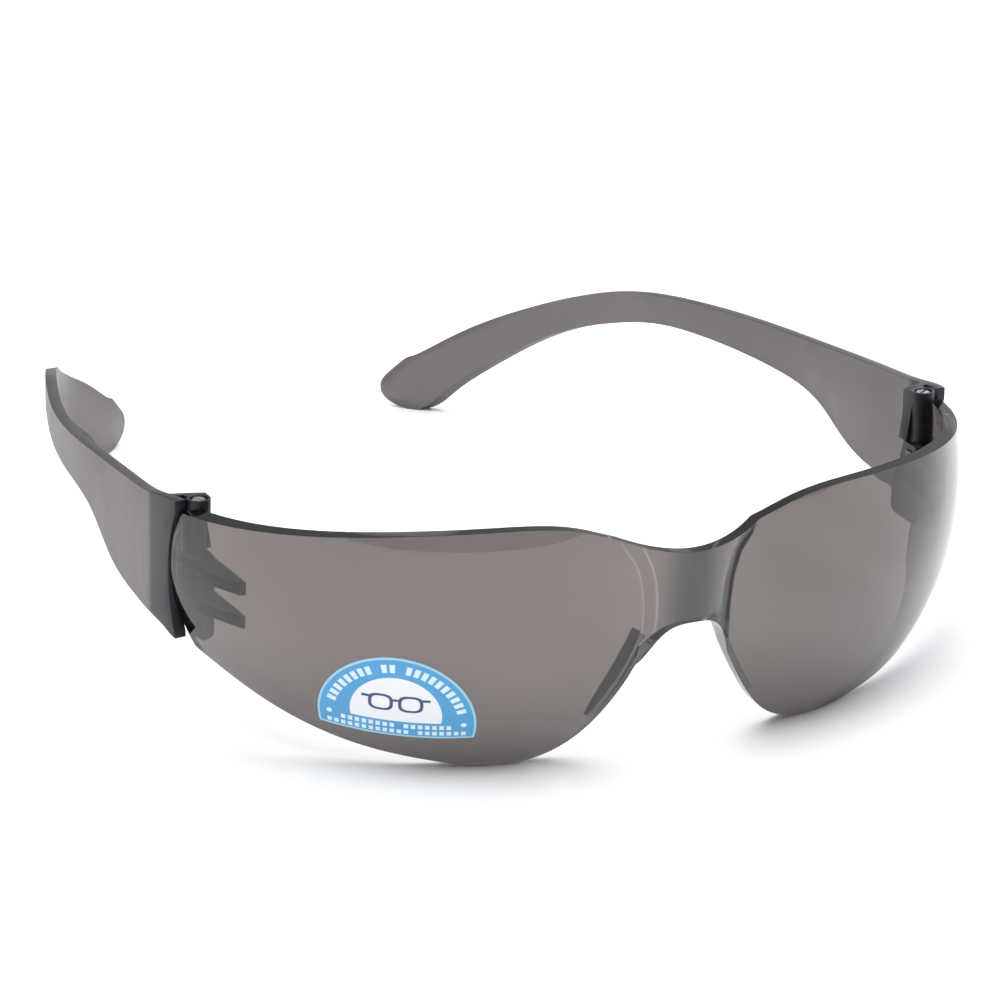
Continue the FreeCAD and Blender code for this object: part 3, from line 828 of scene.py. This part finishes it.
@dataclass(frozen=True)
class LabelPrint:
    """The printed half-disc label on the wearer's right: band, panel, strokes and a pictogram.

    Its sizes are in millimetres. Places on it are given across its straight edge, from the
    middle, and up from that edge.
    """

    zone: EyeZone
    azimuth: float = 34.6
    elevation: float = -27.0
    tilt: float = 3.5
    radius: float = 12.4
    rise: float = 3.0
    seat: float = 0.03
    film: float = 0.12
    arc_steps: int = 72
    foot_steps: int = 24
    rings: int = 14
    border: float = 0.36
    border_soft: float = 0.05
    panel_radius: float = 7.2
    panel_rise: float = 4.7
    panel_foot: float = 3.3
    soft: float = 0.06
    arc_row: StrokeRow = StrokeRow(10.5, 0.72, 1.3, 14.3, (-3.25, 0.65))
    upper_row: StrokeRow = StrokeRow(2.35, 0.45, 1.1, 8.8, (0.55,))
    lower_row: StrokeRow = StrokeRow(1.05, 0.42, 1.1, 11.0, (2.75,))
    spot_place: tuple[float, float] = (10.5, 2.95)
    spot_edge: tuple[float, float] = (0.5, 0.4)
    pictogram: Pictogram = Pictogram()
    blue: Colour = (0.060, 0.350, 0.680)
    pale: Colour = (0.330, 0.660, 0.860)
    white: Colour = (0.90, 0.93, 0.96)
    ink: Colour = (0.02, 0.05, 0.16)
    word: Colour = (0.70, 0.89, 0.96)

    @property
    def centre(self) -> tuple[float, float, float]:
        """The centre of the eye zone that the label is on."""
        return self.zone.centre(Side.RIGHT)

    def _axes(self) -> tuple[Vector, Vector]:
        """The directions across and up the label."""
        turn = (Matrix.Rotation(math.radians(-self.azimuth), 3, "Z")
                @ Matrix.Rotation(math.radians(-self.elevation), 3, "X")
                @ Matrix.Rotation(math.radians(self.tilt), 3, "Y"))
        return turn @ Vector((1.0, 0.0, 0.0)), turn @ Vector((0.0, 0.0, 1.0))

    def _on_ball(self, across: float, up: float, ball: float) -> Vector:
        """Finds a point of the film.

        Args:
            across: its place across the label.
            up: its place up the label.
            ball: its distance from the eye zone's centre, in metres.

        Returns:
            The point.
        """
        axis_u, axis_v = self._axes()
        leg_u, leg_v = across * MM, up * MM
        depth = math.sqrt(ball ** 2 - leg_u ** 2 - leg_v ** 2)
        return (Vector(self.centre) + leg_u * axis_u + leg_v * axis_v
                - depth * axis_v.cross(axis_u))

    def _outline(self) -> list[tuple[float, float]]:
        """Lists the points of the label's edge: its arc, then its straight foot.

        Returns:
            Each point's places across and up.
        """
        foot = math.asin(self.rise / self.radius)
        turns = [-foot + (math.pi + 2.0 * foot) * step / self.arc_steps
                 for step in range(self.arc_steps + 1)]
        edge = [(self.radius * math.cos(turn), self.rise + self.radius * math.sin(turn))
                for turn in turns]
        (start, _), (end, _) = edge[0], edge[-1]
        return edge + [(end + (start - end) * step / self.foot_steps, 0.0)
                       for step in range(1, self.foot_steps)]

    def _layer(self, shape: bmesh.types.BMesh, edge: list[tuple[float, float]], lift: float
               ) -> list[list[bmesh.types.BMVert]]:
        """Adds the points of one face of the film, in rings from its middle to its edge.

        Args:
            shape: the shape to add them to.
            edge: the label's edge.
            lift: how far the face lies off the lens.

        Returns:
            The rings. The first one is a single point.
        """
        ball = self.zone.outer_radius + lift * MM
        heart = 0.5 * self.radius
        loops = []
        for ring in range(self.rings + 1):
            share = ring / self.rings
            loops.append([shape.verts.new(self._on_ball(u * share, heart + (v - heart) * share,
                                                        ball))
                          for u, v in (edge if ring else [(0.0, heart)])])
        return loops

    def mesh(self) -> bpy.types.Mesh:
        """Builds the film as a fine half-round shell that lies just clear of the lens.

        Returns:
            The film's mesh.
        """
        shape = bmesh.new()
        edge = self._outline()
        layers = [self._layer(shape, edge, lift) for lift in (self.seat, self.film)]
        pairs = [(step, (step + 1) % len(edge)) for step in range(len(edge))]
        for loops in layers:
            for step, after in pairs:
                shape.faces.new((loops[0][0], loops[1][step], loops[1][after]))
                for inner, outer in zip(loops[1:], loops[2:]):
                    shape.faces.new((inner[step], outer[step], outer[after], inner[after]))
        under, over = layers[0][-1], layers[1][-1]
        for step, after in pairs:
            shape.faces.new((under[step], under[after], over[after], over[step]))
        bmesh.ops.recalc_face_normals(shape, faces=shape.faces)
        return mesh_of(shape, "lens_label_film")

    def _colour(self, bench: NodeBench) -> bpy.types.NodeSocket:
        """Lays the band, the panel, the strokes and the sign over one another.

        Args:
            bench: the material's bench.

        Returns:
            The colour's socket.
        """
        point = bench.offset(bench.place(), self.centre)
        across, up = (bench.dot(point, tuple(axis / MM)) for axis in self._axes())
        above = bench.math("SUBTRACT", up, self.rise)
        radius = bench.slant(across, above)
        angle = bench.math("ARCTAN2", across, above)
        brim = self.radius - self.border
        inside = bench.math("MULTIPLY",
                            bench.ramp(radius, brim + self.border_soft, brim - self.border_soft),
                            bench.ramp(up, self.border - self.border_soft,
                                       self.border + self.border_soft))
        reach = bench.slant(across, bench.math("SUBTRACT", up, self.panel_rise))
        panel = bench.math("MULTIPLY",
                           bench.ramp(reach, self.panel_radius + self.soft,
                                      self.panel_radius - self.soft),
                           bench.ramp(up, self.panel_foot - self.soft,
                                      self.panel_foot + self.soft))
        along = bench.math("MULTIPLY", angle, self.arc_row.level)
        aside, level = self.spot_place
        spot = bench.slant(bench.math("SUBTRACT", bench.math("ABSOLUTE", across), aside),
                           bench.math("SUBTRACT", up, level))
        words = bench.chain("MAXIMUM", self.arc_row.mask(bench, along, radius),
                            self.upper_row.mask(bench, across, up),
                            self.lower_row.mask(bench, across, up),
                            bench.ramp(spot, *self.spot_edge))
        words = bench.math("MULTIPLY", words, bench.math("SUBTRACT", 1.0, panel))
        sign = bench.math("MULTIPLY", self.pictogram.mask(bench, across, up), panel)
        colour = rgba(self.pale)
        for mask, over in ((inside, self.blue), (panel, self.white), (words, self.word),
                           (sign, self.ink)):
            colour = bench.blend(mask, colour, rgba(over))
        return colour

    def material(self, effects: EffectLibrary) -> bpy.types.Material:
        """Builds the material.

        Args:
            effects: the shared node groups.

        Returns:
            The material.
        """
        material, bench, shader = start_material("label_print")
        marks = effects.use(bench, effects.marks, Roughness=0.28, Amount=0.12, Smears=120.0)
        bench.feed(shader.inputs["Base Color"], self._colour(bench))
        bench.feed(shader.inputs["Roughness"], marks.outputs["Roughness"])
        shader.inputs["Coat Weight"].default_value = 0.4
        shader.inputs["Coat Roughness"].default_value = 0.08
        add_bump(bench, shader, bench.noise(bench.place(), 500.0, 3.0), depth=0.03 * MM,
                 strength=0.25)
        return material


@dataclass(frozen=True)
class FloorFinish:
    """Smooth pale studio board."""

    tint: Colour = (0.93, 0.93, 0.935)
    deep_tint: Colour = (0.915, 0.915, 0.92)

    def material(self, effects: EffectLibrary) -> bpy.types.Material:
        """Builds the material.

        Args:
            effects: the shared node groups.

        Returns:
            The material.
        """
        material, bench, shader = start_material("studio_board")
        tint = effects.use(bench, effects.drift, Tint=rgba(self.tint),
                           Deep_Tint=rgba(self.deep_tint), Clouds=3.0)
        grain = effects.use(bench, effects.grain, Grains=900.0, Roughness=0.6, Spread=0.05)
        bench.feed(shader.inputs["Base Color"], tint.outputs["Colour"])
        bench.feed(shader.inputs["Roughness"], grain.outputs["Roughness"])
        shader.inputs["Specular IOR Level"].default_value = 0.1
        return material


def dress(node: bpy.types.Object, material: bpy.types.Material) -> None:
    """Puts a material in every material slot of an object.

    Args:
        node: the object.
        material: the material.
    """
    if not node.material_slots:
        node.data.materials.append(material)
    for slot in node.material_slots:
        slot.material = material


def rounded_copy(node: bpy.types.Object, radius: float, body: str
                 ) -> bpy.types.Object:
    """Makes a copy of a CAD node with its sharp edges rounded, and lets it stand for the node.

    Args:
        node: the CAD node.
        radius: how far the rounding reaches from an edge.
        body: the body that the copy rides on.

    Returns:
        The copy.
    """
    shape = bmesh.new()
    shape.from_mesh(node.data)
    bmesh.ops.remove_doubles(shape, verts=shape.verts, dist=WELD)
    bmesh.ops.dissolve_limit(shape, angle_limit=math.radians(FLAT_DEGREES), verts=shape.verts,
                             edges=shape.edges)
    mesh = mesh_of(shape, f"{node.name}_rounded")
    for face in mesh.polygons:
        face.use_smooth = True
    piece = link_object(mesh.name, mesh)
    bevel = piece.modifiers.new("rounding", "BEVEL")
    bevel.width = radius
    bevel.segments = 3
    bevel.limit_method = "ANGLE"
    bevel.angle_limit = math.radians(SHARP_DEGREES)
    bevel.harden_normals = True
    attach(piece, body)
    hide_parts(node.name)
    return piece


@dataclass
class FrontAssembly:
    """The lens with its nose fins, its label, and the fixed halves of the hinges."""

    nodes: dict[str, bpy.types.Object]
    effects: EffectLibrary
    zone: EyeZone
    hinge_finish: HingeFinish = field(default_factory=HingeFinish)

    def build(self) -> list[str]:
        """Dresses the lens, the label and the hinge parts.

        Returns:
            The names of the pieces.
        """
        dress(self.nodes["lens"], LensFinish(self.zone).material(self.effects))
        label = LabelPrint(self.zone)
        film = link_object("lens_label_film", label.mesh())
        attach(film, "front")
        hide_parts("lens_label")
        dress(film, label.material(self.effects))
        plastic = self.hinge_finish.material(self.effects)
        steel = MetalFinish(Metal.STEEL).material(self.effects)
        brass = MetalFinish(Metal.BRASS).material(self.effects)
        done = ["lens", film.name]
        for side in Side:
            for part, material in (("hinge_bracket", plastic), ("hinge_screw", steel),
                                   ("thread_insert", brass)):
                name = f"{part}_{side.word}"
                dress(self.nodes[name], material)
                done.append(name)
        return done


@dataclass
class FoldingArms:
    """The two folding arms."""

    nodes: dict[str, bpy.types.Object]
    effects: EffectLibrary
    axis_y: float
    edge_radius: float = 0.45 * MM
    finish: ArmFinish = field(default_factory=ArmFinish)

    def build(self) -> list[str]:
        """Rounds the arms' edges and dresses them.

        Returns:
            The names of the pieces.
        """
        material = self.finish.material(self.effects, self.axis_y)
        done = []
        for side in Side:
            name = f"temple_{side.word}"
            piece = rounded_copy(self.nodes[name], self.edge_radius, f"{side.word}_arm")
            dress(piece, material)
            done.append(piece.name)
        return done


@dataclass(frozen=True)
class SoftLight:
    """A large rectangular light that faces the object.

    Its place is given from the object's middle, its size and place in metres, its power in watts.
    """

    name: str
    place: tuple[float, float, float]
    size: tuple[float, float]
    power: float
    colour: Colour = (1.0, 1.0, 1.0)

    def build(self, centre: Vector) -> None:
        """Hangs the light.

        Args:
            centre: the object's middle.
        """
        data = bpy.data.lights.new(self.name, "AREA")
        data.shape = "RECTANGLE"
        data.size, data.size_y = self.size
        data.energy = self.power
        data.color = self.colour
        lamp = link_object(self.name, data)
        lamp.location = centre + Vector(self.place)
        lamp.rotation_euler = Vector(self.place).to_track_quat("Z", "Y").to_euler()


@dataclass
class Studio:
    """The floor, the soft light and the camera."""

    centre: Vector
    effects: EffectLibrary
    floor_rings: tuple[float, ...] = (0.35, 1.0, 2.5, 6.0)
    floor_steps: int = 96
    side_level: float = 0.42
    top_level: float = 3.1
    seen_level: float = 1.0
    top_rise: tuple[float, float] = (0.72, 0.92)
    lights: tuple[SoftLight, ...] = (
        SoftLight("key_light", (-0.7, -0.4, 1.6), (1.0, 0.8), 6.0),
        SoftLight("edge_light", (1.5, 0.9, 0.45), (1.4, 0.9), 22.0, (0.86, 0.93, 1.0)))
    aim_offset: tuple[float, float, float] = (2.39 * MM, -10.65 * MM, -2.57 * MM)
    azimuth: float = -26.0
    elevation: float = 20.5
    roll: float = 1.06
    distance: float = 0.991
    focal_length: float = 216.0

    def build_floor(self) -> None:
        """Builds the round floor, with rings that grow outwards."""
        shape = bmesh.new()
        turns = [2.0 * math.pi * step / self.floor_steps for step in range(self.floor_steps)]
        rings = [[shape.verts.new((radius * math.cos(turn), radius * math.sin(turn), 0.0))
                  for turn in turns] for radius in self.floor_rings]
        middle = shape.verts.new((0.0, 0.0, 0.0))
        for step in range(self.floor_steps):
            after = (step + 1) % self.floor_steps
            shape.faces.new((middle, rings[0][step], rings[0][after]))
            for inner, outer in zip(rings, rings[1:]):
                shape.faces.new((inner[step], outer[step], outer[after], inner[after]))
        floor = link_object("studio_floor", mesh_of(shape, "studio_floor"))
        dress(floor, FloorFinish().material(self.effects))
        floor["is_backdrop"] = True

    def build_light(self) -> None:
        """Sets a sky that is brightest overhead, and two large soft lights."""
        scene = bpy.context.scene
        world = bpy.data.worlds.new("studio_sky")
        world.use_nodes = True
        bench = NodeBench(world.node_tree)
        back = world.node_tree.nodes["Background"]
        sight = bench.split(bench.add("ShaderNodeTexCoord").outputs["Generated"])
        dome = bench.ramp(sight["Z"], *self.top_rise, self.side_level, self.top_level)
        seen = bench.add("ShaderNodeLightPath").outputs["Is Camera Ray"]
        level = bench.add("ShaderNodeMix", data_type="FLOAT")
        for name, value in (("Factor", seen), ("A", dome), ("B", self.seen_level)):
            bench.feed(level.inputs[name], value)
        bench.feed(back.inputs["Strength"], level.outputs[0])
        back.inputs["Color"].default_value = (1.0, 1.0, 1.0, 1.0)
        scene.world = world
        for light in self.lights:
            light.build(self.centre)

    def build_camera(self) -> None:
        """Sets the camera in front of the glasses, on the wearer's right and above."""
        turn, rise, roll = (math.radians(part)
                            for part in (self.azimuth, self.elevation, self.roll))
        back = Vector((math.sin(turn) * math.cos(rise), -math.cos(turn) * math.cos(rise),
                       math.sin(rise)))
        level = Vector((math.cos(turn), math.sin(turn), 0.0))
        upright = back.cross(level)
        right = math.cos(roll) * level + math.sin(roll) * upright
        upward = math.cos(roll) * upright - math.sin(roll) * level
        data = bpy.data.cameras.new("studio_camera")
        data.sensor_width = 36.0
        data.lens = self.focal_length
        data.clip_end = 30.0
        camera = link_object("studio_camera", data)
        aim = self.centre + Vector(self.aim_offset)
        pose = Matrix((right, upward, back)).transposed().to_4x4()
        pose.translation = aim + self.distance * back
        camera.matrix_world = pose
        bpy.context.scene.camera = camera

    def build(self) -> None:
        """Builds the whole studio."""
        bpy.context.scene.view_settings.view_transform = "Standard"
        self.build_floor()
        self.build_light()
        self.build_camera()


def box_centre(box: tuple) -> Vector:
    """The middle of a box given by its lowest and highest corners."""
    return 0.5 * (Vector(box[0]) + Vector(box[1]))


def main() -> None:
    """Builds every part of the scene in order."""
    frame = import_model()
    cad_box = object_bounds()
    effects = EffectLibrary()
    _, axis_y, _ = frame["record"]["behaviour"]["joints"][0]["pos_m"]
    front = FrontAssembly(frame["nodes"], effects, EyeZone(axis_y))
    arms = FoldingArms(frame["nodes"], effects, axis_y)
    for name in (*front.build(), *arms.build()):
        LOG.info("dressed %s", name)
    Studio(box_centre(cad_box), effects).build()
    LOG.info("studio ready")


if __name__ == "__main__":
    logging.basicConfig(level=logging.INFO)
    main()
